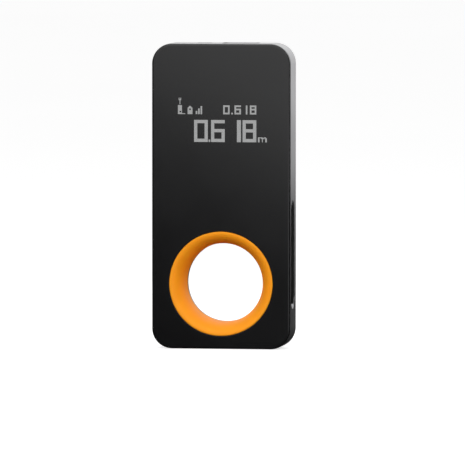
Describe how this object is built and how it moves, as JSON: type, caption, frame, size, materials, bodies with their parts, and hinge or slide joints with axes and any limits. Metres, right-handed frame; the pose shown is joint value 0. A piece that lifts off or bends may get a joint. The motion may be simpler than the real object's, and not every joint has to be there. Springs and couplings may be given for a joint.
{
  "type": "laser distance meter",
  "caption": "Pocket laser distance meter: slim metal case, dark glass front with a small display, soft finger ring through the base end and a long side key.",
  "frame": {"origin": "middle of the base end, on the face that the meter stands on", "axes": "+Z along the meter from its base end to its laser end, -Y out of the display face, +X out of the side with the measuring key"},
  "size_m": [0.0394, 0.0136, 0.086],
  "materials": {
    "grey_aluminium": "fine blasted and anodised grey",
    "front_glass": "satin dark glass",
    "black_plastic": "fine textured black",
    "key_plastic": "smooth satin black",
    "orange_silicone": "soft matte orange",
    "chassis_plastic": "moulded dark grey",
    "black_tape": "double-sided foam tape",
    "foam": "open foam",
    "steel": "plated steel",
    "brass": "turned brass",
    "gold": "gold plated",
    "display_glass": "thin display glass",
    "lens_glass": "coated optical glass",
    "red_filter_glass": "dark red filter glass",
    "board_laminate": "green solder mask",
    "chip_black": "moulded chip body",
    "ceramic": "fired ceramic",
    "flex_amber": "amber polyimide flex",
    "pouch_foil": "laminated foil",
    "bracket_grey": "black die casting",
    "red_insulation": "red wire insulation",
    "black_insulation": "black wire insulation",
    "white_plastic": "moulded connector body"
  },
  "bodies": {
    "case": {"frame": "grey_aluminium", "front_panel": "front_glass", "front_panel_tape": "black_tape", "back_cover": "black_plastic", "back_cover_tape": "black_tape", "inner_chassis": "chassis_plastic", "chassis_screws": "steel", "finger_ring": "orange_silicone", "ring_trim": "grey_aluminium", "ring_adhesive": "black_tape", "key_bracket": "steel", "key_bracket_screws": "steel", "switch_board": "board_laminate", "switch_body": "chip_black", "switch_cover": "steel", "switch_dome": "steel", "switch_flex": "flex_amber", "display_polariser": "display_glass", "display_front_glass": "display_glass", "display_rear_glass": "display_glass", "display_driver_chip": "chip_black", "display_flex": "flex_amber", "display_foam": "foam", "main_board": "board_laminate", "main_board_screws": "steel", "microcontroller": "chip_black", "radio_chip": "chip_black", "radio_shield": "steel", "chip_antenna": "ceramic", "charger_chip": "chip_black", "power_inductor": "bracket_grey", "clock_crystal": "steel", "board_passives": "ceramic", "usb_shell": "steel", "usb_tongue": "chip_black", "usb_contacts": "gold", "battery_cell": "pouch_foil", "battery_board": "board_laminate", "battery_tape": "foam", "battery_connector": "white_plastic", "battery_lead_red": "red_insulation", "battery_lead_black": "black_insulation", "optics_bracket": "bracket_grey", "optics_screws": "steel", "optics_board": "board_laminate", "optics_flex": "flex_amber", "timing_chip": "chip_black", "laser_diode": "gold", "laser_barrel": "brass", "laser_collimator": "lens_glass", "laser_set_screws": "steel", "laser_window": "lens_glass", "receiver_lens": "lens_glass", "receiver_window": "red_filter_glass", "receiver_filter": "red_filter_glass", "receiver_detector": "chip_black"},
    "key": {"side_key": "key_plastic"},
    "plunger": {"switch_plunger": "white_plastic"}
  },
  "joints": [
    {"name": "side_key_press", "type": "slide", "parent": "case", "child": "key", "axis": [-1, 0, 0], "range_m": [0, 0.0003], "stiffness_N_per_m": 3000, "springref_m": -0.0002, "deforming": ["switch_dome"]},
    {"name": "switch_plunger_press", "type": "slide", "parent": "case", "child": "plunger", "axis": [-1, 0, 0], "range_m": [0, 0.0003], "deforming": ["switch_dome"]}
  ],
  "couplings": [
    {"joint": "switch_plunger_press", "follows": "side_key_press", "ratio": 1}
  ]
}
